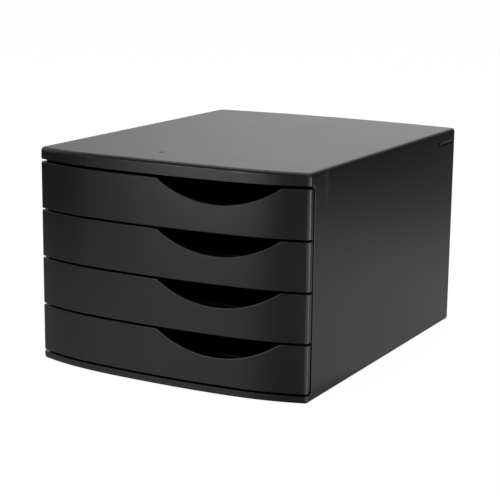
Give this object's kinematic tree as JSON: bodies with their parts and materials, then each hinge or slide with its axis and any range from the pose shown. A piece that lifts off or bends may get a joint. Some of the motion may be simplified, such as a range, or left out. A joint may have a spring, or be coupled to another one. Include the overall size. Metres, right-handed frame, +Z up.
{
  "type": "desktop drawer unit",
  "caption": "Desktop letter tray cabinet with stacked sliding drawers, bowed full-width drawer fronts and an off-centre finger scoop in the top edge of each.",
  "frame": {"origin": "middle of the closed unit's footprint, at floor level under the feet", "axes": "+Z up, -Y towards the drawer fronts, +X to the right as seen from the front"},
  "size_m": [0.2876, 0.3612, 0.208],
  "materials": {
    "case_plastic": "satin",
    "front_plastic": "satin",
    "tray_plastic": "satin",
    "foot_rubber": "matte"
  },
  "bodies": {
    "case": {"top_cover": "case_plastic", "left_side_panel": "case_plastic", "right_side_panel": "case_plastic", "base_panel": "case_plastic", "back_panel": "case_plastic", "foot_front_left": "foot_rubber", "foot_front_right": "foot_rubber", "foot_rear_left": "foot_rubber", "foot_rear_right": "foot_rubber"},
    "drawer_1": {"drawer_1_tray": "tray_plastic", "drawer_1_front": "front_plastic"},
    "drawer_2": {"drawer_2_tray": "tray_plastic", "drawer_2_front": "front_plastic"},
    "drawer_3": {"drawer_3_tray": "tray_plastic", "drawer_3_front": "front_plastic"},
    "drawer_4": {"drawer_4_tray": "tray_plastic", "drawer_4_front": "front_plastic"}
  },
  "joints": [
    {"name": "drawer_1_slide", "type": "slide", "parent": "case", "child": "drawer_1", "axis": [0, -1, 0], "range_m": [0, 0.25]},
    {"name": "drawer_2_slide", "type": "slide", "parent": "case", "child": "drawer_2", "axis": [0, -1, 0], "range_m": [0, 0.25]},
    {"name": "drawer_3_slide", "type": "slide", "parent": "case", "child": "drawer_3", "axis": [0, -1, 0], "range_m": [0, 0.25]},
    {"name": "drawer_4_slide", "type": "slide", "parent": "case", "child": "drawer_4", "axis": [0, -1, 0], "range_m": [0, 0.25]}
  ]
}
